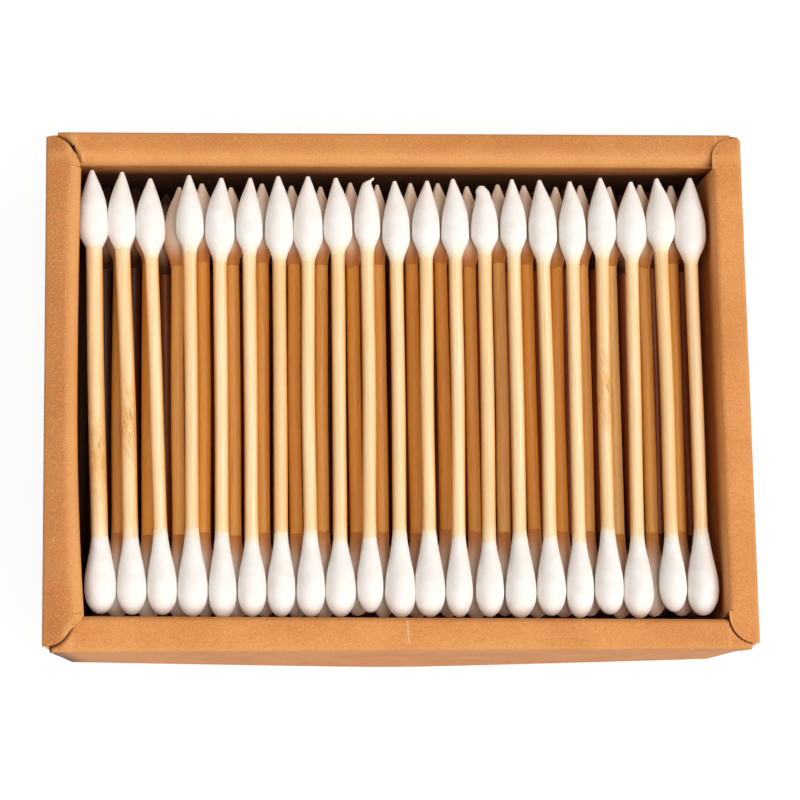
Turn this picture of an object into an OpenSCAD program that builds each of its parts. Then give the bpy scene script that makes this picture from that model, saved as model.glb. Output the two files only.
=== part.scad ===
// A kraft board tray filled with bamboo cotton swabs, in millimetres with +Z up.
// The tray stands on z = 0 with its middle on the Z axis, and only the foot of its front panel
// bulges out from that. The swabs lie front to back in nested rows, with their round tips to the
// front, towards -Y, and their pointed tips to the back. The tray is one folded sheet, so its walls
// are hollow and its inside follows from the swabs.

/* [Board] */
// Thickness of the kraft board
board_t = 0.45; // [0.3:0.05:0.6]
// Width of the hollow walls, and so of the rim that runs round the top
wall_w = 5.2; // [4:0.1:8]
// Bend radius of the crisp folds on the outside, to the middle of the board
crisp_fold_r = 0.5; // [0.35:0.05:0.9]
// Bend radius of the rounder folds along the inner edge of the rim, to the middle of the board
round_fold_r = 1.1; // [0.6:0.05:1.4]
// Width of the glue flaps that lie on the floor under the swabs
flap_w = 16; // [8:0.5:20]

/* [Front bulge] */
// How far the foot of the front panel bulges outwards in its middle
front_bow = 1.2; // [0.2:0.1:2.5]
// Width over which the bulge is rounded in its middle
bow_round = 8; // [2:1:20]

/* [Corners] */
// Bend radius of the upright corners, to the middle of the board
corner_r = 1.3; // [0.9:0.1:2.2]
// Length of the glue tabs behind the front and back panels
tab_l = 17; // [8:0.5:30]
// How far the front and back panels stop short of the side faces
panel_short = 1.3; // [0.8:0.1:2]
// How far the rounded ends of the side rims stop short of the front and back faces
lobe_short = 1.0; // [0.8:0.1:1.5]
// Length of the rounded ends of the side rims
lobe_l = 5.3; // [3:0.1:7]
// How far the rounded ends sit in from the side faces
lobe_inset = 0.3; // [0.1:0.05:0.6]
// Height over which the upper corners of the inner side panels slope in to the rim
slope_h = 12; // [2:0.5:25]
// Play between panels that pass one another
fold_gap = 0.2; // [0.1:0.05:0.4]

/* [Swab] */
// Length of a swab from tip to tip
swab_l = 75.5; // [60:0.5:90]
// Diameter of the bamboo stem
stem_d = 2.25; // [1.8:0.05:2.8]
// Diameter of a cotton tip at its widest
tip_d = 4.9; // [4:0.1:6]
// Length of the pointed tip
pointed_l = 14.6; // [10:0.2:20]
// Length of the round tip
round_l = 14; // [10:0.2:20]
// Thickness of the cotton where it ends on the stem
cotton_edge = 0.12; // [0.05:0.01:0.25]
// Radius of the flat spot at the end of the pointed tip
point_r = 0.3; // [0.1:0.05:0.6]
// Radius of the flat spot at the end of the round tip
blunt_r = 0.9; // [0.4:0.1:1.4]
// Cotton beyond the end of the stem
end_pad = 3.5; // [2.5:0.25:6]

/* [Filling] */
// Swabs in a full row; the rows between hold one fewer
row_count = 21; // [5:1:30]
// Gap between the tips of neighbours in a row
tip_gap = 0.2; // [0.1:0.05:0.5]
// Slack between the tips of one row and those of the row below
row_gap = 0.25; // [0.1:0.05:0.4]
// Room between a full row and each side wall
side_room = 1.35; // [0.5:0.05:3]
// Room between the round tips and the front wall
front_room = 0.8; // [0.3:0.1:3]
// Room between the pointed tips and the back wall
back_room = 1.8; // [0.5:0.1:5]
// Room between the top row and the height of the rim
head_room = 2.85; // [1.5:0.05:10]
// How many swabs of the top row lean with their pointed tips on the left wall
lean_count = 3; // [0:1:5]

/* [Hidden] */
$fn = 48;

// Rows are counted from the floor, and the top row is a full one.
layers = 8;
fold_steps = 4;
lobe_steps = 8;
tip_steps = 9;
// Cotton that only just touches keeps this much air
touch_gap = 0.03;

tip_r = tip_d / 2;
stem_r = stem_d / 2;
pitch = tip_d + tip_gap;
row_step = sqrt(pow(tip_d + row_gap, 2) - pow(pitch / 2, 2));
inner_w = (row_count - 1) * pitch + tip_d + 2 * side_room;
inner_d = swab_l + front_room + back_room;
tray_w = inner_w + 2 * wall_w;
tray_d = inner_d + 2 * wall_w;
// The floor and a glue flap on it carry the lowest row
bed_z = 2 * board_t;
first_z = bed_z + touch_gap + tip_r;
tray_h = first_z + (layers - 1) * row_step + tip_r + head_room;
// The front and back rims lie one board lower, under the ends of the side rims
low_rim_z = tray_h - board_t;

kraft = [0.80, 0.56, 0.34];
bamboo = [0.95, 0.80, 0.52];
cotton = [0.97, 0.95, 0.92];

// Folded board, drawn as the outline of a strip that is seen edge on

function unit(v) = v / norm(v);
function left_of(v) = [-v[1], v[0]];

// One face of the bend at a corner of the strip's middle line; side is the face's distance to the left
function bend(before, corner, after, r, side) =
    let (
        way_in = unit(corner - before),
        way_out = unit(after - corner),
        angle = atan2(way_in[0] * way_out[1] - way_in[1] * way_out[0], way_in * way_out),
        hand = angle > 0 ? 1 : -1,
        to_centre = left_of(way_in) * hand,
        centre = corner - way_in * r * tan(abs(angle) / 2) + to_centre * r,
        start = atan2(-to_centre[1], -to_centre[0]),
        arm = r - hand * side
    )
    [for (i = [0 : fold_steps])
        let (a = start + angle * i / fold_steps)
        centre + arm * [cos(a), sin(a)]];

function square_end(from, to, at, side) = at + left_of(unit(to - from)) * side;

// One whole face of the strip; radii[i] is the bend at path[i + 1]
function strip_face(path, radii, side) =
    let (last = len(path) - 1)
    [
        square_end(path[0], path[1], path[0], side),
        for (i = [1 : last - 1])
            each bend(path[i - 1], path[i], path[i + 1], radii[i - 1], side),
        square_end(path[last - 1], path[last], path[last], side)
    ];

function backwards(list) = [for (i = [len(list) - 1 : -1 : 0]) list[i]];

module strip(path, radii)
    polygon(concat(
        strip_face(path, radii, board_t / 2),
        backwards(strip_face(path, radii, -board_t / 2))
    ));

// A strip's outline stood on its edge along Y, centred, with the outline's x and y as X and Z
module along_y(length)
    rotate([90, 0, 0])
        linear_extrude(length, center = true)
            children();

// Walls of the tray, each drawn as the left wall, reach out from the middle of the tray;
// top_z is the height of the rim's upper face

// Foot fold, outer panel and the rim as far as rim_w
module outer_strip(reach, top_z, rim_w)
    strip(
        [
            [-reach + wall_w, board_t / 2],
            [-reach + board_t / 2, board_t / 2],
            [-reach + board_t / 2, top_z - board_t / 2],
            [-reach + rim_w, top_z - board_t / 2]
        ],
        [crisp_fold_r, crisp_fold_r]
    );

// Inner part of the rim, inner panel and the fold into the glue flap
module inner_strip(reach, top_z)
    strip(
        [
            [-reach + wall_w / 2, top_z - board_t / 2],
            [-reach + wall_w - board_t / 2, top_z - board_t / 2],
            [-reach + wall_w - board_t / 2, bed_z - board_t / 2],
            [-reach + wall_w + 2 * crisp_fold_r, bed_z - board_t / 2]
        ],
        [round_fold_r, crisp_fold_r]
    );

// Glue flap with mitred ends, in plan, on the left side of a floor that is inner_l long
module flap_outline(reach, inner_l)
    polygon([
        [-reach + wall_w + crisp_fold_r, -inner_l / 2 + crisp_fold_r + fold_gap],
        [-reach + wall_w + flap_w, -inner_l / 2 + flap_w + fold_gap],
        [-reach + wall_w + flap_w, inner_l / 2 - flap_w - fold_gap],
        [-reach + wall_w + crisp_fold_r, inner_l / 2 - crisp_fold_r - fold_gap]
    ]);

module flap(reach, inner_l)
    translate([0, 0, board_t])
        linear_extrude(board_t)
            flap_outline(reach, inner_l);

// Places and sizes that the corners share; the rim is flat as far as its round inner fold
rim_flat_w = wall_w - board_t / 2 - round_fold_r;
bend_reach = board_t + corner_r + board_t / 2;
flat_side_l = tray_d - 2 * bend_reach;
side_rim_l = tray_d - 2 * lobe_short;
side_fold_l = side_rim_l - 2 * lobe_l;
side_panel_l = inner_d - 2 * fold_gap;
front_panel_l = tray_w - 2 * panel_short;
front_inner_l = inner_w + 2 * (board_t + fold_gap);

// A side rim from above, as far as its inner fold: straight along the outer fold, with a
// quarter round at each end that also reaches over the fold's width
module side_rim_outline() {
    lobe_w = wall_w - lobe_inset;
    lobe_x = -tray_w / 2 + lobe_inset;
    fold_x = -tray_w / 2 + rim_flat_w;
    back_half = concat(
        [[fold_x, side_fold_l / 2]],
        [for (i = [0 : lobe_steps])
            let (a = 90 * i / lobe_steps)
            [lobe_x + lobe_w * cos(a), side_fold_l / 2 + lobe_l * sin(a)]],
        [[lobe_x, flat_side_l / 2]],
        [[-tray_w / 2, flat_side_l / 2]]
    );
    front_half = [for (p = backwards(back_half)) [p[0], -p[1]]];
    polygon(concat(back_half, front_half));
}

// The inner side panel seen from the side: its upper corners slope in to meet the rim
module side_panel_outline() {
    slope_top = tray_h - round_fold_r - board_t;
    polygon([
        [-side_panel_l / 2, 0],
        [side_panel_l / 2, 0],
        [side_panel_l / 2, slope_top - slope_h],
        [side_fold_l / 2, slope_top],
        [side_fold_l / 2, tray_h],
        [-side_fold_l / 2, tray_h],
        [-side_fold_l / 2, slope_top],
        [-side_panel_l / 2, slope_top - slope_h]
    ]);
}

// A glue tab bent round the upright corner at the left front, from above
module corner_tab()
    translate([0, 0, bed_z])
        linear_extrude(low_rim_z - board_t - fold_gap - bed_z)
            strip(
                [
                    [-tray_w / 2 + board_t / 2, -flat_side_l / 2 + board_t],
                    [-tray_w / 2 + board_t / 2, -tray_d / 2 + board_t * 3 / 2],
                    [-tray_w / 2 + board_t + tab_l, -tray_d / 2 + board_t * 3 / 2]
                ],
                [corner_r]
            );

module side_wall() {
    // the rim is cut to its rounded ends
    intersection() {
        along_y(side_rim_l)
            outer_strip(tray_w / 2, tray_h, wall_w);
        translate([0, 0, low_rim_z])
            linear_extrude(board_t)
                side_rim_outline();
    }
    // the upright panel stops where the corners begin to bend
    intersection() {
        along_y(flat_side_l)
            outer_strip(tray_w / 2, tray_h, wall_w / 2);
        translate([-tray_w / 2, -flat_side_l / 2, 0])
            cube([wall_w, flat_side_l, tray_h]);
    }
    // the inner fold ends where the rounded ends begin, and the panel below it is longer
    intersection() {
        along_y(side_panel_l)
            inner_strip(tray_w / 2, tray_h);
        rotate([90, 0, 90])
            linear_extrude(tray_w, center = true)
                side_panel_outline();
    }
    flap(tray_w / 2, inner_d);
    corner_tab();
    mirror([0, 1, 0])
        corner_tab();
}

// The front and back walls, each drawn on the left and turned to its end by the caller

// Inner fold, inner panel and glue flap, alike in both
module end_lining() {
    along_y(front_inner_l)
        inner_strip(tray_d / 2, low_rim_z);
    flap(tray_d / 2, inner_w);
}

module back_wall() {
    along_y(front_panel_l)
        outer_strip(tray_d / 2, low_rim_z, rim_flat_w);
    end_lining();
}

// How far the front panel's foot stands out at y along the panel, with a round crest in the middle
function bow(y) =
    let (half = front_panel_l / 2)
    front_bow * max(0, half - norm([y, bow_round])) / (half - bow_round);

// Places of the cross sections, out to where the bulge begins and then to the panel's ends
bow_reach = sqrt(pow(front_panel_l / 2, 2) - pow(bow_round, 2));
bow_shares = [-1, -0.5, -0.25, -0.1, 0, 0.1, 0.25, 0.5, 1];
bow_places = concat([-front_panel_l / 2], bow_shares * bow_reach, [front_panel_l / 2]);

// Solid through a row of strip outlines, each of them one face and then the other face backwards
module lofted_strip(rings) {
    n = len(rings[0]);
    last = len(rings) - 1;
    // the quads across the strip, from face to face, that close an end
    across = [for (j = [0 : n / 2 - 2]) [j, j + 1, n - 2 - j, n - 1 - j]];
    polyhedron(
        points = [for (ring = rings) each ring],
        faces = concat(
            across,
            [for (quad = across) [for (j = backwards(quad)) last * n + j]],
            [for (i = [0 : last - 1], j = [0 : n - 1])
                let (
                    here = i * n + j,
                    beside = i * n + (j + 1) % n
                )
                each [[here, here + n, beside + n], [here, beside + n, beside]]]
        )
    );
}

// Foot fold and outer panel as far as top_z, where the bulge has faded to nothing
module bulging_panel(reach, top_z) {
    path = [
        [-reach + front_bow + board_t + crisp_fold_r + fold_gap, board_t / 2],
        [-reach + board_t / 2, board_t / 2],
        [-reach + board_t / 2, top_z]
    ];
    outline = concat(
        strip_face(path, [crisp_fold_r], board_t / 2),
        backwards(strip_face(path, [crisp_fold_r], -board_t / 2))
    );
    lofted_strip([for (y = bow_places)
        [for (p = outline) [p[0] - bow(y) * (1 - p[1] / top_z), y, p[1]]]]);
}

module front_wall() {
    bulge_top_z = low_rim_z - wall_w / 2;
    bulging_panel(tray_d / 2, bulge_top_z);
    // the top of the panel and its rim are straight
    along_y(front_panel_l)
        strip(
            [
                [-tray_d / 2 + board_t / 2, bulge_top_z],
                [-tray_d / 2 + board_t / 2, low_rim_z - board_t / 2],
                [-tray_d / 2 + rim_flat_w, low_rim_z - board_t / 2]
            ],
            [crisp_fold_r]
        );
    end_lining();
}

// The floor reaches under the foot folds, with its corners notched out between them
module floor_panel() {
    inset = board_t + crisp_fold_r;
    linear_extrude(board_t)
        union() {
            square([tray_w - 2 * inset, flat_side_l], center = true);
            square([front_panel_l, tray_d - 2 * inset], center = true);
        }
}

module tray() {
    color(kraft)
        union() {
            floor_panel();
            side_wall();
            mirror([1, 0, 0])
                side_wall();
            rotate(-90)
                back_wall();
            rotate(90)
                front_wall();
        }
}

// Swabs, each with its round end at the origin and its length along +Y

// Radius of the pointed tip, u running from 0 at the point to 1 on the stem
widest_pointed = 0.64;
shoulder = 0.7;
function smooth_fall(u) = (1 + cos(180 * u)) / 2;
function neck_r() = stem_r + cotton_edge;
function pointed_r(u) =
    u < widest_pointed ? point_r + (tip_r - point_r) * sin(90 * u / widest_pointed)
    : u < shoulder ? tip_r
    : neck_r() + (tip_r - neck_r()) * smooth_fall((u - shoulder) / (1 - shoulder));

// Radius of the round tip, u running from 0 at the blunt end to 1 on the stem
widest_round = 0.28;
function round_r(u) =
    u < widest_round ? blunt_r + (tip_r - blunt_r) * sqrt(1 - pow(1 - u / widest_round, 2))
    : neck_r() + (tip_r - neck_r()) * smooth_fall((u - widest_round) / (1 - widest_round));

// Steps are closest together at the blunt end
function pointed_step(i) = i / tip_steps;
function round_step(i) = pow(i / tip_steps, 1.6);

// Half section of a wound tip, with the blind hole that the stem's end fills
module pointed_section()
    polygon(concat(
        [[0, 0]],
        [for (i = [0 : tip_steps]) [pointed_r(pointed_step(i)), pointed_l * pointed_step(i)]],
        [[stem_r, pointed_l], [stem_r, end_pad], [0, end_pad]]
    ));

module round_section()
    polygon(concat(
        [[0, 0]],
        [for (i = [0 : tip_steps]) [round_r(round_step(i)), round_l * round_step(i)]],
        [[stem_r, round_l], [stem_r, end_pad], [0, end_pad]]
    ));

module stem()
    translate([0, end_pad, 0])
        rotate([-90, 0, 0])
            cylinder(r = stem_r, h = swab_l - 2 * end_pad);

module pointed_tip()
    translate([0, swab_l, 0])
        rotate([90, 0, 0])
            rotate_extrude()
                pointed_section();

module round_tip()
    rotate([-90, 0, 0])
        rotate_extrude()
            round_section();

// Where each swab lies. Full rows have even numbers, and the top row is the one that has been
// disturbed: its shifts count in tip gaps, so neighbours never meet, and its pushes in back rooms.
round_shift = [2, 3, 3, 2.5, 2, 1.5, 0.5, 0, -0.5, -1, -1, -1.5, -2, -1.5, -0.5, 0, -1, -2, -2.5, 2, 2];
point_shift = [0, 0, 0, 0, 0.5, 0.5, 1, 0.5, 1, 1, 0.5, 1, 1, 1, 0.5, 0.5, 1, 1.5, 2, 1.5, 2];
back_push = [0.5, 0.4, 0.3, 0.3, 0.1, 0.1, 0.1, 0.1, 0.1, 0.5, 0, 0.1, 0, 0, 0, 0.1, 0, 0.2, 0, 0.4, 0.1];
// Share of the side room and of the tip gaps that the leaning swabs take up
lean_share = 0.8;

function listed(list, i) = i < len(list) ? list[i] : 0;
function in_row(row) = row_count - (row % 2);
function rest_x(row, i) = (i - (in_row(row) - 1) / 2) * pitch;
function round_x(row, i) =
    rest_x(row, i) + (row == layers ? listed(round_shift, i) * tip_gap : 0);
function leaned(i) = -lean_share * (side_room + i * tip_gap);
function point_x(row, i) =
    rest_x(row, i)
    + (row < layers ? 0 : i < lean_count ? leaned(i) : listed(point_shift, i) * tip_gap);
// Lower rows are pushed back a little, each swab by its own amount
function push(row, i) =
    back_room * (row == layers ? listed(back_push, i) : 0.15 + 0.15 * sin(137 * i + 61 * row));

// A tip that has left the hollow between the two below rides up on the nearer one
function off_hollow(row, x) = abs(x / pitch - round(x / pitch - 0.5 * (row_count % 2 == 0 ? 0 : 1))
    - (row_count % 2 == 0 ? 0 : 0.5)) * pitch;
function lift(row, x) =
    row < layers ? 0
    : max(0, sqrt(pow(tip_d + touch_gap, 2) - pow(off_hollow(row, x), 2)) - row_step);

module at_swab(row, i) {
    x0 = round_x(row, i);
    x1 = point_x(row, i);
    z0 = lift(row, x0);
    z1 = lift(row, x1);
    translate([x0, -inner_d / 2 + front_room + push(row, i), first_z + (row - 1) * row_step + z0])
        rotate([asin((z1 - z0) / swab_l), 0, asin((x0 - x1) / swab_l)])
            children();
}

module in_rows(row)
    for (i = [0 : in_row(row) - 1])
        at_swab(row, i)
            children();

module stems(row)
    color(bamboo)
        in_rows(row)
            stem();

module pointed_tips(row)
    color(cotton)
        in_rows(row)
            pointed_tip();

module round_tips(row)
    color(cotton)
        in_rows(row)
            round_tip();

tray();
stems(1);  // stems_1
pointed_tips(1);  // pointed_tips_1
round_tips(1);  // round_tips_1
stems(2);  // stems_2
pointed_tips(2);  // pointed_tips_2
round_tips(2);  // round_tips_2
stems(3);  // stems_3
pointed_tips(3);  // pointed_tips_3
round_tips(3);  // round_tips_3
stems(4);  // stems_4
pointed_tips(4);  // pointed_tips_4
round_tips(4);  // round_tips_4
stems(5);  // stems_5
pointed_tips(5);  // pointed_tips_5
round_tips(5);  // round_tips_5
stems(6);  // stems_6
pointed_tips(6);  // pointed_tips_6
round_tips(6);  // round_tips_6
stems(7);  // stems_7
pointed_tips(7);  // pointed_tips_7
round_tips(7);  // round_tips_7
stems(8);  // stems_8
pointed_tips(8);  // pointed_tips_8
round_tips(8);  // round_tips_8
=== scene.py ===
"""Looks of an open kraft board tray filled with bamboo cotton swabs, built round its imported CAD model.

Each piece is modelled in millimetres and scaled down to metres when it is finished.
"""

import math
import random

import bmesh
import bpy
from mathutils import Matrix, Vector, noise


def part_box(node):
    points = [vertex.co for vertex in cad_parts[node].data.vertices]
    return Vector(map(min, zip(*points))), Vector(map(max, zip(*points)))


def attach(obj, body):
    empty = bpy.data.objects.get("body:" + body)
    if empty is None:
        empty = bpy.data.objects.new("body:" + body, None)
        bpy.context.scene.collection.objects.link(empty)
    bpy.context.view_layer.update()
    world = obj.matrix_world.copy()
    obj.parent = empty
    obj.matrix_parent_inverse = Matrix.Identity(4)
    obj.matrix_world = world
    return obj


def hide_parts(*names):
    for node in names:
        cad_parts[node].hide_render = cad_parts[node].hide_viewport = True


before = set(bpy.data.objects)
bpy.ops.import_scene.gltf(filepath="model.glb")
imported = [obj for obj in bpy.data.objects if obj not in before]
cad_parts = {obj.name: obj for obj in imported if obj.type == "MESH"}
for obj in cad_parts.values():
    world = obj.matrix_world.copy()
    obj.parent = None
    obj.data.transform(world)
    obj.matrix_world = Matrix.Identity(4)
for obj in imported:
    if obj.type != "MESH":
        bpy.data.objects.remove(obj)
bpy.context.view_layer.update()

MM = 0.001

# Sizes of the tray, as the CAD model has them

tray_low, tray_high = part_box("tray")
HALF_W = tray_high.x / MM
HALF_D = tray_high.y / MM
HEIGHT = tray_high.z / MM
FRONT_BOW = -tray_low.y / MM - HALF_D
BOW_ROUND = 8.0
BOARD = 0.45
WALL = 5.2
CRISP = 0.5
FLAP = 16.0
PLAY = 0.2
FLAP_PLAY = 0.4
TAB_LENGTH = 17.0
CORNER_R = 1.3
PANEL_SHORT = 1.3
LOBE_SHORT = 1.0
LOBE_LENGTH = 5.3

# Forms of the tray that the CAD model has plainer: the rims' inner folds, the corner radii of the
# side rims' ends, and the slopes of the side panels' corners, -1 for front
FIRM_FOLD = 0.7
SOFT_FOLDS = {"left": 2.0, "back": 2.8}
LOBE_ROUND = 4.8
SHARP_LOBE_ROUND = 3.4
SLOPE_HEIGHTS = {-1: 4.0, 1: 12.0}
FOLD_STEPS = 5
LOBE_STEPS = 12

# Sizes of a swab, and the number of the top row

SWAB_LENGTH = 75.5
STEM_R = 1.125
TIP_R = 2.45
POINTED_L = 14.6
ROUND_L = 14.0
END_PAD = 3.5
TOP_ROW = 8

# The camera, fitted to the corners of the tray in the photo

LENS = 102.3
CAMERA_DISTANCE = 422.0
CAMERA_SLIDE = (-1.77, -3.9)
CAMERA_TURNS = (-8.96, 2.43, 0.40)
SENSOR_WIDTH = 36
# In metres
NEAREST_SEEN = 0.01
FURTHEST_SEEN = 20


def place_camera():
    """The camera, from the turns and the slide that take the tray to it."""
    turns = [math.radians(a) for a in CAMERA_TURNS]
    world_to_camera = (
        Matrix.Rotation(turns[0], 3, "X")
        @ Matrix.Rotation(turns[1], 3, "Y")
        @ Matrix.Rotation(turns[2], 3, "Z")
    )
    to_world = world_to_camera.transposed()
    data = bpy.data.cameras.new("camera")
    data.lens = LENS
    data.sensor_width = SENSOR_WIDTH
    data.clip_start = NEAREST_SEEN
    data.clip_end = FURTHEST_SEEN
    camera = bpy.data.objects.new("camera", data)
    bpy.context.scene.collection.objects.link(camera)
    spot = to_world @ Vector((*CAMERA_SLIDE, -CAMERA_DISTANCE)) * -MM
    camera.matrix_world = Matrix.Translation(spot) @ to_world.to_4x4()
    bpy.context.scene.camera = camera


# Shader nodes


class Wire:
    """A socket of a shader that is added, subtracted and multiplied like a number."""

    def __init__(self, tree, socket):
        self.tree = tree
        self.socket = socket

    def worked(self, operation, first, second):
        node = self.tree.nodes.new("ShaderNodeMath")
        node.operation = operation
        plug(self.tree, node.inputs[0], first)
        plug(self.tree, node.inputs[1], second)
        return Wire(self.tree, node.outputs[0])

    def __add__(self, other):
        return self.worked("ADD", self, other)

    def __radd__(self, other):
        return self.worked("ADD", other, self)

    def __sub__(self, other):
        return self.worked("SUBTRACT", self, other)

    def __rsub__(self, other):
        return self.worked("SUBTRACT", other, self)

    def __mul__(self, other):
        return self.worked("MULTIPLY", self, other)

    def __rmul__(self, other):
        return self.worked("MULTIPLY", other, self)


def plug(tree, socket, value):
    """Links a wire to a socket, or sets the socket to a number, a colour or a vector."""
    if isinstance(value, Wire):
        tree.links.new(value.socket, socket)
    elif isinstance(value, tuple) and socket.type == "RGBA":
        socket.default_value = (*value, 1)
    else:
        socket.default_value = value


class NodeMaker:
    """The emptied shader tree of a material or a world, and the one way its nodes are made."""

    def __init__(self, owner):
        owner.use_nodes = True
        self.tree = owner.node_tree
        self.tree.nodes.clear()

    def node(self, kind, settings=None, sockets=None, out=0):
        """Makes a node and gives the wire from one of its outputs, where it has any."""
        made = self.tree.nodes.new("ShaderNode" + kind)
        for key, value in (settings or {}).items():
            setattr(made, key, value)
        for key, value in (sockets or {}).items():
            plug(self.tree, made.inputs[key], value)
        return Wire(self.tree, made.outputs[out]) if made.outputs else None


class Finish(NodeMaker):
    """A material under way, with the few patterns that board, wood and cotton share."""

    def __init__(self, name):
        self.material = bpy.data.materials.new(name)
        super().__init__(self.material)
        self.place = self.vector("MULTIPLY", self.node("TexCoord", out="Object"), (1 / MM,) * 3)
        self.axes = [self.node("SeparateXYZ", {}, {0: self.place}, out=i) for i in range(3)]

    def vector(self, operation, first, second):
        return self.node("VectorMath", {"operation": operation}, {0: first, 1: second})

    def noise(self, where, scale, detail=2.0, roughness=0.5):
        sockets = {"Vector": where, "Scale": scale, "Detail": detail, "Roughness": roughness}
        return self.node("TexNoise", {}, sockets)

    def stretched(self, scales, turn=(0, 0, 0)):
        """The place, turned and then scaled along each axis, for grain and fibres."""
        sockets = {"Vector": self.place, "Rotation": turn, "Scale": tuple(1 / s for s in scales)}
        return self.node("Mapping", {"vector_type": "TEXTURE"}, sockets)

    def between(self, value, low, high):
        """0 where the value is at low, 1 where it is at high; low may be the larger."""
        sockets = {"Value": value, "From Min": low, "From Max": high}
        return self.node("MapRange", {"interpolation_type": "SMOOTHSTEP"}, sockets)

    def blend(self, factor, first, second):
        """The first colour where the factor is 0 and the second where it is 1."""
        return self.node("Mix", {"data_type": "RGBA"}, {0: factor, 6: first, 7: second}, out=2)

    def mark(self, name):
        """A number that the piece carries at each of its points."""
        return self.node("Attribute", {"attribute_name": name}, out="Fac")

    def bump(self, height, strength, distance):
        sockets = {"Height": height, "Strength": strength, "Distance": distance * MM}
        return self.node("Bump", {}, sockets)

    def spot(self, x, y, radius):
        """1 in the middle of a small round mark on the rim and 0 outside it."""
        away = self.node(
            "VectorMath", {"operation": "DISTANCE"}, {0: self.place, 1: (x, y, RIM_LEVEL)}, out="Value")
        return self.between(away, radius, radius * 0.4)

    def done(self, **sockets):
        """Ends the material in one shader; its sockets are named with _ for a space."""
        spaced = {key.replace("_", " "): value for key, value in sockets.items()}
        shader = self.node("BsdfPrincipled", {}, spaced)
        self.node("OutputMaterial", {}, {"Surface": shader})
        return self.material


def colour(red, green, blue):
    """A colour as a screen shows it, 0 to 255, as the light values that a shader takes."""
    def light(c):
        c /= 255
        return c / 12.92 if c <= 0.04045 else ((c + 0.055) / 1.055) ** 2.4
    return light(red), light(green), light(blue)


KRAFT = colour(223, 147, 78)
KRAFT_DEEP = colour(211, 133, 63)
KRAFT_PALE = colour(242, 181, 112)
KRAFT_SPECK = colour(218, 122, 38)
# painted shade on the left and back rims
KRAFT_SIDE_SHADE = colour(168, 94, 40)
KRAFT_SCUFF = colour(252, 212, 168)
FIBRE_DARK = colour(156, 88, 38)
# painted shade for the box's dark places and for the deepest swabs
PAINTED_SHADE_DARK = colour(62, 24, 6)
CUT_EDGE = colour(224, 160, 104)
COTTON = colour(250, 246, 241)
COTTON_SHADE = colour(246, 239, 232)
COTTON_THIN = colour(252, 228, 188)
# painted shade of the lower rows' cotton
COTTON_LOW_SHADE = colour(252, 230, 206)
COTTON_LOW_SHADE_THIN = colour(216, 140, 70)
COTTON_DEEP_SHADE = colour(70, 32, 12)
BAMBOO = colour(255, 228, 182)
BAMBOO_TINT = colour(252, 210, 152)
# painted shade on the stems' flanks
BAMBOO_FLANK_SHADE = colour(240, 168, 84)
BAMBOO_VEIN = colour(232, 176, 100)
BAMBOO_KNOT = colour(206, 136, 62)
# painted shade of the lower rows' bamboo
BAMBOO_LOW_SHADE = colour(244, 166, 62)
BAMBOO_LOW_SHADE_PALE = colour(252, 208, 128)
BAMBOO_DEEP_SHADE = colour(140, 64, 12)

# How much painted shade darkens the board along the left and along the back, where the rims turn from the
# light
LEFT_SIDE_SHADE = 0.5
BACK_SIDE_SHADE = 0.2
SIDE_SHADE_FROM_X = (-53, -58)
SIDE_SHADE_FROM_Y = (38, 42)

# Heights between which the rows' colours go from the open top to the painted shade below it
TOP_LEVEL = (33.5, 31.4)
DEEP_LEVEL = (29.4, 26.6)
# Stretch from the middle towards the left over which the deep rows' painted shade goes darker still
DARK_SIDE = (-34, -50)

RIM_LEVEL = HEIGHT - BOARD
# Dark specks in the rims' board, each with its place and radius
RIM_SPECKS = ((-9.5, 39.8, 0.35), (34.0, -40.85, 0.3), (-20.4, -41.6, 0.22), (23.0, 42.4, 0.24))
RIM_CREASE_X = 1.3
RIM_CREASE_Y = (-39.4, -43.6)
RIM_CREASE_SLANT = 0.08
# What the slant adds up to where the crease crosses the middle of the rim
RIM_CREASE_SHIFT = -3.1


def board_fleck(f, turn, low, high):
    """Short fibres that lie one way in the board."""
    lengthwise = f.stretched((0.55, 4.0, 4.0), (0, 0, turn))
    return f.between(f.noise(lengthwise, 1.0, detail=1), low, high)


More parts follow.
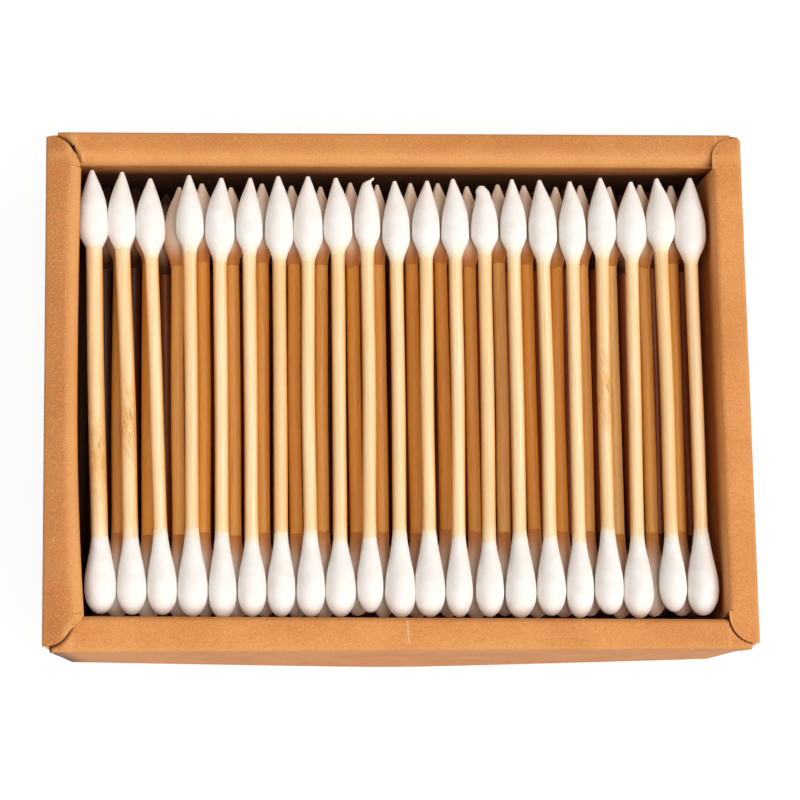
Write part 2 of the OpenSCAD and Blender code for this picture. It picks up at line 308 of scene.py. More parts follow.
def kraft_board():
    f = Finish("kraft_board")
    cloud = f.noise(f.place, 0.1, detail=3)
    mottle = f.noise(f.place, 0.9, detail=3, roughness=0.6)
    grain = f.noise(f.place, 4.2, detail=4, roughness=0.75)
    base = f.blend(f.between(cloud, 0.32, 0.68), KRAFT_DEEP, KRAFT)
    # painted shade: the left and back rims are darkened, as they turn away from the light
    base = f.blend(f.between(f.axes[0], *SIDE_SHADE_FROM_X) * LEFT_SIDE_SHADE, base, KRAFT_SIDE_SHADE)
    base = f.blend(f.between(f.axes[1], *SIDE_SHADE_FROM_Y) * BACK_SIDE_SHADE, base, KRAFT_SIDE_SHADE)
    base = f.blend(f.between(mottle, 0.5, 0.72) * 0.35, base, KRAFT_SPECK)
    base = f.blend(f.between(grain, 0.5, 0.7) * 0.65, base, KRAFT_PALE)
    base = f.blend(f.between(grain, 0.48, 0.3) * 0.6, base, FIBRE_DARK)
    fibres = board_fleck(f, 0.25, 0.66, 0.76)
    base = f.blend(fibres * 0.25, base, FIBRE_DARK)
    base = f.blend(board_fleck(f, 1.3, 0.64, 0.74) * 0.25, base, KRAFT_PALE)
    base = f.blend(board_fleck(f, 2.3, 0.66, 0.76) * 0.25, base, KRAFT_SPECK)
    dots = f.node("TexVoronoi", {}, {"Vector": f.place, "Scale": 1.1}, out="Distance")
    base = f.blend(f.between(dots, 0.18, 0.08) * 0.25, base, KRAFT_SPECK)
    # paler along the folds, partly fold wear and partly painted highlight, and painted light on the right
    # inner panel
    base = f.blend(f.mark("crease_and_highlight") * 0.4, base, KRAFT_PALE)
    # painted shade: dark deep inside, beside the rounded rim ends, at the hole and between layers
    base = f.blend(f.mark("painted_shade"), base, PAINTED_SHADE_DARK)
    for x, y, radius in RIM_SPECKS:
        base = f.blend(f.spot(x, y, radius) * 0.6, base, FIBRE_DARK)
    # a pale crease runs across the front rim in a shallow curve
    along = f.axes[1] * RIM_CREASE_SLANT + f.noise(f.place, 0.5) * 0.5
    off = f.axes[0] + along - RIM_CREASE_X - RIM_CREASE_SHIFT
    away = f.node("Math", {"operation": "ABSOLUTE"}, {0: off})
    on_rim = f.between(f.axes[1], RIM_CREASE_Y[0] + 0.6, RIM_CREASE_Y[0]) * f.between(
        f.axes[1], RIM_CREASE_Y[1], RIM_CREASE_Y[1] + 0.6)
    scuff = f.between(away, 0.22, 0.05) * on_rim
    base = f.blend(scuff * 0.35, base, KRAFT_SCUFF)
    height = grain * 0.6 + mottle * 0.5 + fibres * 0.3 - scuff * 0.6
    normal = f.bump(height, 0.55, 0.14)
    return f.done(
        Base_Color=base, Roughness=0.6 + grain * 0.2, Normal=normal, Specular_IOR_Level=0.5)


def kraft_cut_edge():
    f = Finish("kraft_cut_edge")
    layers = f.noise(f.stretched((1.2, 1.2, 9.0)), 1.0, detail=2)
    grain = f.noise(f.place, 4.0, detail=3, roughness=0.7)
    base = f.blend(f.between(layers, 0.35, 0.65), CUT_EDGE, KRAFT_PALE)
    base = f.blend(f.between(grain, 0.5, 0.3) * 0.4, base, FIBRE_DARK)
    # painted shade on the cut edges in the same dark places
    base = f.blend(f.mark("painted_shade"), base, PAINTED_SHADE_DARK)
    normal = f.bump(layers * 0.6 + grain * 0.6, 0.5, 0.15)
    return f.done(
        Base_Color=base, Roughness=0.86 + grain * 0.1, Normal=normal, Specular_IOR_Level=0.2)


def wound_cotton():
    f = Finish("wound_cotton")
    lumps = f.noise(f.place, 0.4, detail=3)
    wraps = f.noise(f.stretched((0.5, 5.0, 0.5), (0.35, 0, 0.25)), 1.0, detail=3, roughness=0.6)
    fluff = f.noise(f.place, 5.0, detail=4, roughness=0.7)
    thin = f.mark("thin")
    base = f.blend(f.between(lumps, 0.35, 0.65), COTTON_SHADE, COTTON)
    base = f.blend(f.between(wraps, 0.42, 0.3) * 0.3, base, COTTON_SHADE)
    base = f.blend(thin * (0.55 + 0.7 * wraps), base, COTTON_THIN)
    # painted shade: the lower rows' cotton is warmer and darker, and the deepest rows darkest towards the
    # left
    low = f.blend(thin, COTTON_LOW_SHADE, COTTON_LOW_SHADE_THIN)
    base = f.blend(f.between(f.axes[2], *TOP_LEVEL), base, low)
    deep = f.blend(f.between(f.axes[0], *DARK_SIDE), COTTON_DEEP_SHADE, PAINTED_SHADE_DARK)
    base = f.blend(f.between(f.axes[2], *DEEP_LEVEL), base, deep)
    normal = f.bump(wraps * 0.6 + fluff * 0.5 + lumps * 0.4, 0.3, 0.2)
    return f.done(
        Base_Color=base, Roughness=0.93 - fluff * 0.08, Normal=normal, Specular_IOR_Level=0.15,
        Sheen_Weight=0.15, Sheen_Roughness=0.5)


def split_bamboo():
    f = Finish("split_bamboo")
    grain = f.noise(f.stretched((3.2, 0.07, 3.2)), 1.0, detail=4, roughness=0.6)
    veins = f.noise(f.stretched((7.0, 0.12, 7.0)), 1.0, detail=2)
    swirl = f.noise(f.stretched((1.6, 0.5, 1.6), (0, 0, 0.35)), 1.0, detail=3)
    streak = f.noise(f.stretched((3.4, 0.35, 3.4), (0, 0, 0.22)), 1.0, detail=3, roughness=0.6)
    knot = f.mark("knot")
    base = f.blend(f.between(grain, 0.35, 0.66), BAMBOO_TINT, BAMBOO)
    base = f.blend(f.between(veins, 0.6, 0.74) * 0.4, base, BAMBOO_VEIN)
    base = f.blend(f.mark("tone"), base, f.blend(grain, BAMBOO_VEIN, BAMBOO_TINT))
    base = f.blend(knot * f.between(swirl, 0.42, 0.6) * 0.8, base, BAMBOO_VEIN)
    base = f.blend(knot * f.between(streak, 0.54, 0.62), base, BAMBOO_KNOT)
    # painted shade: the stems' flanks and undersides are tinted orange
    base = f.blend(f.mark("flank_shade") * 0.9, base, BAMBOO_FLANK_SHADE)
    base = f.blend(f.mark("lint") * f.between(grain, 0.3, 0.6), base, COTTON_THIN)
    # painted shade: the lower rows' bamboo is warmer and darker, and the deepest rows darkest towards the
    # left
    low = f.blend(f.mark("tone"), BAMBOO_LOW_SHADE, BAMBOO_LOW_SHADE_PALE)
    low = f.blend(f.between(veins, 0.5, 0.7) * 0.5, low, BAMBOO_KNOT)
    base = f.blend(f.between(f.axes[2], *TOP_LEVEL), base, low)
    deep = f.blend(f.between(f.axes[0], *DARK_SIDE), BAMBOO_DEEP_SHADE, PAINTED_SHADE_DARK)
    base = f.blend(f.between(f.axes[2], *DEEP_LEVEL), base, deep)
    normal = f.bump(grain * 0.6 + veins * 0.3 + knot * (swirl + streak), 0.3, 0.15)
    return f.done(
        Base_Color=base, Roughness=0.36 + grain * 0.16, Normal=normal, Specular_IOR_Level=0.6)


# Modelling by hand, in code


def start(add, **settings):
    """Adds a primitive with nothing else selected, and opens it in edit mode."""
    bpy.ops.object.select_all(action="DESELECT")
    add(**settings)
    bpy.ops.object.transform_apply(location=True, rotation=True, scale=True)
    bpy.ops.object.mode_set(mode="EDIT")
    bpy.ops.mesh.select_mode(type="VERT")
    return bpy.context.object


def middle(part):
    """The middle of a vertex, edge or face."""
    if isinstance(part, bmesh.types.BMVert):
        return part.co
    return sum((v.co for v in part.verts), Vector()) / len(part.verts)


def pick(kind, test):
    """Selects the vertices, edges or faces whose middle passes the test."""
    bpy.ops.mesh.select_all(action="DESELECT")
    bpy.ops.mesh.select_mode(type=kind)
    shape = bmesh.from_edit_mesh(bpy.context.object.data)
    for part in {"VERT": shape.verts, "EDGE": shape.edges, "FACE": shape.faces}[kind]:
        if test(middle(part)):
            part.select_set(True)
    shape.select_flush_mode()
    bmesh.update_edit_mesh(bpy.context.object.data)


def push(x, y, z):
    """Extrudes the selected edges."""
    bpy.ops.mesh.extrude_edges_move(TRANSFORM_OT_translate={"value": (x, y, z)})


def cut(test, axis, places):
    """Cuts the faces that pass the test, square to an axis."""
    for place in places:
        pick("FACE", test)
        spot = [0, 0, 0]
        spot[axis] = place
        along = [0, 0, 0]
        along[axis] = 1
        bpy.ops.mesh.bisect(plane_co=spot, plane_no=along)


def near(a, b, reach=0.02):
    return abs(a - b) < reach


def share(value, low, high):
    """0 at low, 1 at high and smooth between them; low may be the larger."""
    t = min(1, max(0, (value - low) / (high - low)))
    return t * t * (3 - 2 * t)


def fold_path(corners, radii):
    """Points along a folded strip: the corners with their bends rounded."""
    points = [Vector(corners[0])]
    for before, corner, after, radius in zip(corners, corners[1:], corners[2:], radii):
        back = (Vector(before) - Vector(corner)).normalized()
        on = (Vector(after) - Vector(corner)).normalized()
        hub = Vector(corner) + (back + on) * radius
        for i in range(FOLD_STEPS + 1):
            a = math.pi / 2 * i / FOLD_STEPS
            points.append(hub - on * radius * math.cos(a) - back * radius * math.sin(a))
    points.append(Vector(corners[-1]))
    return points


def follow(points, turn):
    """Extrudes the selected edges along a path; turn makes a step of the path a move in space."""
    for here, there in zip(points, points[1:]):
        step = there - here
        push(*turn(step.x, step.y))


def point_marks(mesh, names):
    """A number at each point of a mesh for each name; all are made before the first is filled in."""
    for name in names:
        mesh.attributes.new(name, "FLOAT", "POINT")
    return {name: mesh.attributes[name].data for name in names}


def scaled_down(piece, name):
    """Ends the modelling of a piece: names it and takes it from millimetres to metres."""
    bpy.ops.object.mode_set(mode="OBJECT")
    piece.name = name
    piece.data.name = name
    piece.data.transform(Matrix.Diagonal((MM, MM, MM, 1)))
    piece.data.update()
    return piece


# The tray, which is one folded sheet; its places are those of the board's middle

OUT_X = HALF_W - BOARD / 2
OUT_Y = HALF_D - BOARD / 2
IN_X = HALF_W - WALL + BOARD / 2
IN_Y = HALF_D - WALL + BOARD / 2
SIDE_TOP = HEIGHT - BOARD / 2
END_TOP = SIDE_TOP - BOARD
FLOOR_Z = BOARD / 2
FLAP_Z = 1.5 * BOARD
FLAT_Y = HALF_D - 1.5 * BOARD - CORNER_R
END_X = HALF_W - PANEL_SHORT
LOBE_Y = HALF_D - LOBE_SHORT
SIDE_FOLD_Y = LOBE_Y - LOBE_LENGTH
SIDE_PANEL_Y = HALF_D - WALL - PLAY
END_PANEL_X = HALF_W - WALL + BOARD + PLAY
TAB_Y = OUT_Y - BOARD
TAB_LOW = 2 * BOARD
TAB_HIGH = HEIGHT - 2 * BOARD - PLAY
TAB_END_X = HALF_W - BOARD - TAB_LENGTH
BULGE_TOP = HEIGHT - BOARD - WALL / 2


def lobe_round(s, t):
    """Corner radius of a side rim's end; the one at the right back is the sharpest."""
    return SHARP_LOBE_ROUND if s > 0 and t > 0 else LOBE_ROUND


def side_wall(s):
    """The wall on the side s of the floor, -1 for left: foot, outer panel, rim, inner panel and flap."""
    fold = SOFT_FOLDS["left"] if s < 0 else FIRM_FOLD
    rim_edge = IN_X + fold
    up = fold_path([(END_X, FLOOR_Z), (OUT_X, FLOOR_Z), (OUT_X, SIDE_TOP), (rim_edge, SIDE_TOP)],
                   [CRISP, CRISP])
    flap_edge = HALF_W - WALL - FLAP
    down = fold_path([(rim_edge, SIDE_TOP), (IN_X, SIDE_TOP), (IN_X, FLAP_Z), (flap_edge, FLAP_Z)],
                     [fold - 0.001, CRISP])

    def turn(across, rise):
        return s * across, 0, rise

    def at_rim_edge(m):
        return near(m.x, s * rim_edge) and near(m.z, SIDE_TOP)

    pick("EDGE", lambda m: near(m.x, s * END_X) and near(m.z, FLOOR_Z))
    follow(up, turn)
    cut(lambda m: near(m.z, SIDE_TOP) and s * m.x > rim_edge - 0.01, 1, (-SIDE_FOLD_Y, SIDE_FOLD_Y))
    pick("EDGE", lambda m: at_rim_edge(m) and abs(m.y) < SIDE_FOLD_Y)
    follow(down, turn)
    bpy.ops.transform.resize(
        value=(1, (IN_Y - FLAP - FLAP_PLAY) / SIDE_FOLD_Y, 1), center_override=(0, 0, FLAP_Z))
    for t in (-1, 1):
        # the rounded end of the rim reaches over the end wall's rim
        pick("EDGE", lambda m: at_rim_edge(m) and t * m.y > SIDE_FOLD_Y)
        push(-s * (rim_edge - HALF_W + WALL), 0, 0)
        pick("EDGE", lambda m: near(m.y, t * FLAT_Y) and m.z > SIDE_TOP - CRISP and s * m.x > 0)
        push(0, t * (LOBE_Y - FLAT_Y), 0)
        pick("FACE", lambda m: near(m.z, SIDE_TOP, 0.001) and s * m.x > 0 and t * m.y > SIDE_FOLD_Y)
        bpy.ops.mesh.dissolve_faces(use_verts=True)
        pick("VERT", lambda m: near(m.y, t * LOBE_Y) and near(m.x, s * (HALF_W - WALL)) and m.z > END_TOP)
        bpy.ops.mesh.bevel(offset=lobe_round(s, t), segments=LOBE_STEPS, affect="VERTICES")
        # the inner panel is longer than the fold above it, with a sloping corner
        pick("EDGE", lambda m: near(m.x, s * IN_X) and near(m.y, t * SIDE_FOLD_Y)
             and FLAP_Z + 5 < m.z < SIDE_TOP - 5)
        push(0, t * (SIDE_PANEL_Y - SIDE_FOLD_Y), 0)
        pick("VERT", lambda m: near(m.x, s * IN_X) and near(m.y, t * SIDE_PANEL_Y) and m.z > HEIGHT / 2)
        bpy.ops.transform.translate(value=(0, 0, -SLOPE_HEIGHTS[t]))


def corner_tabs(s):
    """The two glue tabs of a side wall, bent round its upright corners into the end walls."""
    cut(lambda m: near(m.x, s * OUT_X) and m.z > CRISP, 2, (TAB_LOW, TAB_HIGH))
    for t in (-1, 1):
        pick("EDGE", lambda m: near(m.x, s * OUT_X) and near(m.y, t * FLAT_Y) and TAB_LOW < m.z < TAB_HIGH)
        bend = fold_path([(OUT_X, FLAT_Y), (OUT_X, TAB_Y), (TAB_END_X, TAB_Y)], [CORNER_R - 0.001])
        follow(bend, lambda x, y: (s * x, t * y, 0))


def end_wall(t):
    """The wall at the end t of the floor, -1 for front: as a side wall, but one board lower."""
    fold = SOFT_FOLDS["back"] if t > 0 else FIRM_FOLD
    rim_edge = IN_Y + fold
    up = fold_path([(FLAT_Y, FLOOR_Z), (OUT_Y, FLOOR_Z), (OUT_Y, END_TOP), (rim_edge, END_TOP)],
                   [CRISP, CRISP])
    flap_edge = HALF_D - WALL - FLAP
    down = fold_path([(rim_edge, END_TOP), (IN_Y, END_TOP), (IN_Y, FLAP_Z), (flap_edge, FLAP_Z)],
                     [fold - 0.001, CRISP])

    def turn(across, rise):
        return 0, t * across, rise

    pick("EDGE", lambda m: near(m.y, t * FLAT_Y) and near(m.z, FLOOR_Z) and near(m.x, 0))
    follow(up, turn)
    cut(lambda m: near(m.z, END_TOP) and t * m.y > rim_edge - 0.01, 0, (-END_PANEL_X, END_PANEL_X))
    pick("EDGE", lambda m: near(m.y, t * rim_edge) and near(m.z, END_TOP) and abs(m.x) < END_PANEL_X)
    follow(down, turn)
    bpy.ops.transform.resize(
        value=((IN_X - FLAP - FLAP_PLAY) / END_PANEL_X, 1, 1), center_override=(0, 0, FLAP_Z))


# How the sheet has settled: each rule takes the place of a point before it and gives a move

# Rims: their crown, the dips beside the side rims' ends, and the slit at the right back
RIM_CROWN = 0.55
CROWN_START = 0.7
SEAM_DIPS = {"left": 0.85, "right": 0.4}
SEAM_WIDTHS = {"left": 0.8, "right": 0.4}
SLIT_FOOT = (53.9, 38.6)
SLIT_LEAN = 0.59
SLIT_WIDTH = 0.3
SLIT_DEPTH = 1.3
DIP_HEIGHTS = (END_TOP - 2.5, END_TOP - 0.4)

# Edges that stray, lean or bow, and the heights between which each of them does
STRAY_HEIGHTS = (33.0, 39.0)
FRONT_STRAY = 0.3
FRONT_SLANT = 0.5
BACK_STRAY = -0.6
LOOSE_FROM = 50
FRONT_END_LEAN = 1.1
LEAN_HEIGHTS = (38, 26)
BACK_END_SHIFTS = {"left": 0.7, "right": 1.2}
LEFT_BOW = 0.55
LEFT_BOW_BACK = 0.5
LEFT_BOW_FRONT = 1.4
LEFT_BOW_BACK_Y = 38
LEFT_BOW_FRONT_Y = 35.6
LEFT_BOW_ENDS = (41.0, 37.8)
BOW_HEIGHTS = (36.0, 39.2)

# Panels that wave or hang back, the crumpled corner, and the box as a whole
FLOOR_BULGE = 8
WAVE_DEPTH = 0.2
WAVE_FOOT = (2, 10)
WAVE_HEAD = (39.3, 34.5)
RECESS_FOOT = (2, 20)
RECESS_UNDER_TOP = (1.5, 4.5)
CRUMPLE = (-54.2, 39.6)
CRUMPLE_REACH = 1.8
HOLE_R = (0.9, 0.4)
LEFT_RECESS = 1.6
BACK_RECESS = 0.1
OUT_OF_SQUARE = 0.0087
NARROWED = 0.9937


def beyond_lobe(x, y):
    """How far a place lies outside the outline of the nearest rounded rim end, negative under it."""
    radius = lobe_round(x, y)
    hub_x = HALF_W - WALL + radius
    hub_y = LOBE_Y - radius
    if abs(x) < hub_x and abs(y) > hub_y:
        return math.hypot(abs(x) - hub_x, abs(y) - hub_y) - radius
    return max(HALF_W - WALL - abs(x), abs(y) - LOBE_Y)


def side(x):
    return "right" if x > 0 else "left"


def past_slit(x, y):
    """How far a place lies past the slanted end of the back rim at its right corner."""
    return x - SLIT_FOOT[0] - (y - SLIT_FOOT[1]) * SLIT_LEAN


def front_bulge(x, y, z):
    """The front panel's foot bulges forward, most in the middle, with the floor's edge below it."""
    crest = max(0, END_X - math.hypot(x, BOW_ROUND)) / (END_X - BOW_ROUND)
    if y < -OUT_Y + BOARD + 0.1:
        return FRONT_BOW * crest * max(0, 1 - z / BULGE_TOP)
    if y < -FLAT_Y + FLOOR_BULGE and z < FLOOR_Z + 0.1:
        return FRONT_BOW * crest * share(y, -FLAT_Y + FLOOR_BULGE, -OUT_Y)
    return 0


def rim_drop(x, y, z):
    """Rims fall away towards their outer folds, and end rims dip where a side rim's end lies on them."""
    if z < DIP_HEIGHTS[0]:
        return 0
    up = share(z, *DIP_HEIGHTS)
    over_x = share(abs(x), IN_X + CROWN_START, OUT_X + 1)
    over_y = share(abs(y), IN_Y + CROWN_START, OUT_Y + 1)
    drop = RIM_CROWN * min(1.2, math.hypot(over_x, over_y)) * up
    if is_end_wall(x, y, z):
        dip = SEAM_DIPS[side(x)] * share(beyond_lobe(x, y), SEAM_WIDTHS[side(x)], 0.1)
        if x > 0 and y > 0:
            dip = max(dip, SLIT_DEPTH * share(past_slit(x, y), 0, SLIT_WIDTH))
        drop += dip * up
    return drop


def rim_stray(x, y, z):
    """The end rims' inner edges stray from straight; the front one is nearer to the swabs on the left."""
    if not is_end_wall(x, y, z):
        return 0
    stray = FRONT_STRAY - FRONT_SLANT * x / IN_X if y < 0 else BACK_STRAY
    return stray * share(abs(y), OUT_Y, IN_Y) * share(z, *STRAY_HEIGHTS)


def front_end(x, y, z):
    """The front panel's right end leans away from the corner, so that the layer behind it shows."""
    if y > -OUT_Y + 0.1:
        return 0
    return -FRONT_END_LEAN * share(x, LOOSE_FROM, END_X) * share(z, *LEAN_HEIGHTS)


def back_end(x, y, z):
    """The back rim's two ends sit further to the right than the front one's."""
    if y < 0 or not is_end_wall(x, y, z):
        return 0
    return BACK_END_SHIFTS[side(x)] * share(abs(x), LOOSE_FROM, END_X)


def is_end_wall(x, y, z):
    """Whether a place is on the front or back wall, whose rims lie one board lower."""
    return abs(y) > IN_Y - 0.05 and z < END_TOP + 0.01 and abs(x) < END_X + 0.01


def left_bow(x, y, z):
    """The left rim's inner edge is pushed inwards, most at its two ends."""
    if x > -IN_X + 0.05 or z < 30 or is_end_wall(x, y, z):
        return 0
    if y > 0:
        at_end = LEFT_BOW_BACK * (y / LEFT_BOW_BACK_Y) ** 2
    else:
        at_end = LEFT_BOW_FRONT * (y / LEFT_BOW_FRONT_Y) ** 2
    inward = (LEFT_BOW + at_end) * share(abs(y), *LEFT_BOW_ENDS)
    return inward * share(x, -OUT_X, -IN_X) * share(z, *BOW_HEIGHTS)


def recess(x, y, z):
    """The inner panels of the left and back walls hang back under their folds."""
    under = share(SIDE_TOP - z, *RECESS_UNDER_TOP) * share(z, *RECESS_FOOT)
    if near(x, -IN_X, 0.1) and abs(y) < IN_Y - 0.1:
        return -LEFT_RECESS * under, 0
    if near(y, IN_Y, 0.1) and abs(x) < END_PANEL_X + 0.1:
        return 0, BACK_RECESS * under
    return 0, 0


def inward_wave(x, y, z):
    """Outer panels wave a little, and only inwards, so that they stay in the box."""
    depth = WAVE_DEPTH * abs(noise.noise(Vector((x * 0.03, y * 0.03, z * 0.05 + 3))))
    depth *= share(z, *WAVE_FOOT) * share(z, *WAVE_HEAD)
    move_x = -math.copysign(depth, x) if abs(x) > OUT_X - 0.1 else 0
    move_y = -math.copysign(depth, y) if abs(y) > OUT_Y - 0.1 else 0
    return move_x, move_y


def crumple(x, y, z):
    """The sheet is creased where the left rim's fold ends at the back."""
    closeness = math.exp(-((x - CRUMPLE[0]) ** 2 + (y - CRUMPLE[1]) ** 2) / CRUMPLE_REACH ** 2)
    if z < END_TOP - 2 or closeness < 0.01:
        return 0
    return -closeness * (0.25 + 0.55 * noise.noise(Vector((x * 1.1, y * 1.1, 2))))


def skewed(x, y, z):
    """The whole box has gone a little out of square, its back to the left."""
    return x * NARROWED - y * OUT_OF_SQUARE, y, z


def settled(p):
    """Where a point of the sheet ends up."""
    x, y, z = p
    recess_x, recess_y = recess(x, y, z)
    wave_x, wave_y = inward_wave(x, y, z)
    ripple_z = 0.05 * noise.noise(Vector((x * 0.11, y * 0.11, 7))) - 0.05 if z > 30 else 0
    return skewed(
        x + left_bow(x, y, z) + front_end(x, y, z) + back_end(x, y, z) + recess_x + wave_x,
        y - front_bulge(x, y, z) + rim_stray(x, y, z) + recess_y + wave_y,
        z - rim_drop(x, y, z) + crumple(x, y, z) + ripple_z,
    )


# Where the board is painted pale, partly as fold wear and partly as painted highlight, and where painted
# shade darkens it

LIT_PANEL_HEIGHTS = (24, 34)
LEFT_DARK_HEIGHTS = (34.6, 29.0)
BACK_DARK_HEIGHTS = (34.2, 31.0)
LEFT_DARKNESS = 0.85
DARKNESS = 0.9


def fold_wear_and_highlight(p):
    """How pale a point is painted: half on the rim's outer folds, as wear, and wholly on its soft inner
    ones, partly as wear and partly as painted highlight.
    """
    x, y, z = p
    if near(x, IN_X, 0.1):
        # painted light: the right inner panel, which catches the light, is painted paler towards its fold
        return share(z, *LIT_PANEL_HEIGHTS)
    if z < SIDE_TOP - 3.5:
        return 0
    outer = min(math.hypot(abs(x) - OUT_X, z - SIDE_TOP), math.hypot(abs(y) - OUT_Y, z - END_TOP))
    left = math.hypot(x + IN_X + 0.6, z - SIDE_TOP + 0.4)
    back = math.hypot(y - IN_Y - 0.6, z - END_TOP + 0.8)
    return max(0.5 * share(outer, 0.7, 0.15), share(min(left, back * 0.7), 1.3, 0.5))


def wall_painted_shade(x, y, z):
    """Painted shade: deep inside, the left and back panels are painted dark."""
    if near(x, -IN_X, 0.1):
        return LEFT_DARKNESS * share(z, *LEFT_DARK_HEIGHTS)
    return DARKNESS * share(z, *BACK_DARK_HEIGHTS) if near(y, IN_Y, 0.1) else 0


def painted_shade(p):
    """Painted shade on the sheet: inside, beside the rounded rim ends, at a hole and between layers."""
    x, y, z = p
    # painted shade at the front wall's left end and in the gaps between the glue tabs and the front panel
    if y < -FLAT_Y and x < -END_X + 0.5 and z > 1 and is_end_wall(x, y, z):
        return DARKNESS
    if z < TAB_HIGH:
        between = FLAT_Y + 0.9 < -y < TAB_Y + 0.1 and abs(x) > END_X - 4 and z > 1
        return DARKNESS if between else wall_painted_shade(x, y, z)
    if not is_end_wall(x, y, z) or z < END_TOP - 1:
        return 0
    # painted shade in the hole at the crumpled corner and along the seams beside the rounded rim ends
    hole = share(math.hypot(x - CRUMPLE[0], y - CRUMPLE[1]), *HOLE_R)
    return max(hole, share(abs(beyond_lobe(x, y)), SEAM_WIDTHS[side(x)], 0.2))


CELL = 4.0
FOLD_CELL = 0.55
CORNER_CELL = 0.35
CORNER_REACH = 9
# First and last cuts along each axis, clear of the folds
CUTS_X = (-55.7, 56.5)
CUTS_Y = (-39.7, 40.5)
CUTS_Z = (5.9, 34)
FOLD_CUTS_Z = (34.9, 38.6)
CORNER_CUTS_X = (51.8, 59.2)
CORNER_CUTS_Y = (36.3, 43.9)


def steps(first, last, size):
    """Places from the first as far as the last, one size apart."""
    return [first + size * i for i in range(int((last - first) / size) + 1)]


def cut_finely():
    """Gives the sheet enough points to settle, most of them at the corners of the rim."""
    cut(lambda m: True, 0, steps(*CUTS_X, CELL))
    cut(lambda m: True, 1, steps(*CUTS_Y, CELL))
    cut(lambda m: m.z > 2, 2, steps(*CUTS_Z, CELL) + steps(*FOLD_CUTS_Z, FOLD_CELL))

    def in_corner(m):
        return abs(m.x) > HALF_W - CORNER_REACH and abs(m.y) > HALF_D - CORNER_REACH and m.z > END_TOP - 1

    for s in (-1, 1):
        cut(in_corner, 0, [s * x for x in steps(*CORNER_CUTS_X, CORNER_CELL)])
        cut(in_corner, 1, [s * y for y in steps(*CORNER_CUTS_Y, CORNER_CELL)])
    for e in (0, SLIT_WIDTH):
        pick("FACE", lambda m: in_corner(m) and m.x > 0 and m.y > 0 and is_end_wall(*m))
        bpy.ops.mesh.bisect(
            plane_co=(SLIT_FOOT[0] + e, SLIT_FOOT[1], 0), plane_no=Vector((1, -SLIT_LEAN, 0)).normalized())


MERGED_WITHIN = 0.03
# What the board's thickness lacks, so that the tray stays inside its CAD box
BOARD_SPARED = 0.01
SMOOTH_FOLD = 35


def folded_tray():
    """The whole sheet: extruded from the floor, cut finely, settled and given its thickness."""
    sheet = start(bpy.ops.mesh.primitive_plane_add, size=1, location=(0, 0, FLOOR_Z))
    bpy.ops.transform.resize(value=(2 * END_X, 2 * FLAT_Y, 1))
    for s in (-1, 1):
        side_wall(s)
    for t in (-1, 1):
        end_wall(t)
    for s in (-1, 1):
        corner_tabs(s)
    cut_finely()
    bpy.ops.mesh.select_all(action="SELECT")
    bpy.ops.mesh.remove_doubles(threshold=MERGED_WITHIN)
    bpy.ops.mesh.select_all(action="SELECT")
    bpy.ops.mesh.normals_make_consistent(inside=False)
    bpy.ops.object.mode_set(mode="OBJECT")
    marks = point_marks(sheet.data, ("crease_and_highlight", "painted_shade"))
    for v in sheet.data.vertices:
        marks["crease_and_highlight"][v.index].value = fold_wear_and_highlight(v.co)
        marks["painted_shade"][v.index].value = painted_shade(v.co)
        v.co = settled(v.co)
    sheet.data.materials.append(kraft_board())
    sheet.data.materials.append(kraft_cut_edge())
    thick = sheet.modifiers.new("board", "SOLIDIFY")
    thick.thickness = BOARD - BOARD_SPARED
    thick.offset = 0
    thick.material_offset_rim = 1
    bpy.ops.object.modifier_apply(modifier=thick.name)
    for v in sheet.data.vertices:
        v.co.x = max(-HALF_W, min(HALF_W, v.co.x))
        v.co.y = max(-HALF_D - FRONT_BOW, min(HALF_D, v.co.y))
        v.co.z = max(0, min(HEIGHT, v.co.z))
    bpy.ops.object.shade_smooth_by_angle(angle=math.radians(SMOOTH_FOLD))
    return scaled_down(sheet, "folded_tray")


# Swabs, each with its round end at the origin and its length along +Y

NECK_R = STEM_R + 0.04
POINTED_CROWDING = 1.1
ROUND_CROWDING = 1.5


def pointed_radius(u):
    """Radius of the pointed tip, u running from 0 at the point to 1 on the stem."""
    widest, shoulder, point = 0.62, 0.70, 0.3
    if u < widest:
        return point + (TIP_R - point) * math.sin(math.pi / 2 * u / widest)
    if u < shoulder:
        return TIP_R
    return NECK_R + (TIP_R - NECK_R) * (1 + math.cos(math.pi * (u - shoulder) / (1 - shoulder))) / 2


def round_radius(u):
    """Radius of the round tip, u running from 0 at its end to 1 on the stem."""
    widest = 0.3
    if u < widest:
        return TIP_R * math.sqrt(1 - (1 - u / widest) ** 2)
    return NECK_R + (TIP_R - NECK_R) * (1 + math.cos(math.pi * (u - widest) / (1 - widest))) / 2


def turned(profile, sides):
    """A body turned about the Y axis from its half section, which starts and ends on the axis."""
    body = start(bpy.ops.mesh.primitive_plane_add, size=1)
    bpy.ops.mesh.merge(type="CENTER")
    bpy.ops.transform.translate(value=(*profile[0], 0))
    for here, there in zip(profile, profile[1:]):
        bpy.ops.mesh.extrude_region_move(
            TRANSFORM_OT_translate={"value": (there[0] - here[0], there[1] - here[1], 0)})
    bpy.ops.mesh.select_all(action="SELECT")
    bpy.ops.mesh.spin(steps=sides, angle=2 * math.pi, center=(0, 0, 0), axis=(0, 1, 0))
    bpy.ops.mesh.select_all(action="SELECT")
    bpy.ops.mesh.remove_doubles(threshold=0.001)
    bpy.ops.mesh.normals_make_consistent(inside=False)
    bpy.ops.object.mode_set(mode="OBJECT")
    return body


def tip_profile(radius, length, rings, power):
    """Half section of a tip: its wall, its end on the stem and the seat that the stem goes into."""
    places = [(i / rings) ** power for i in range(rings + 1)]
    wall = [(radius(u), length * u) for u in places if radius(u) > 0]
    return [(0, 0)] + wall + [(STEM_R, length), (STEM_R, END_PAD), (0, END_PAD)]


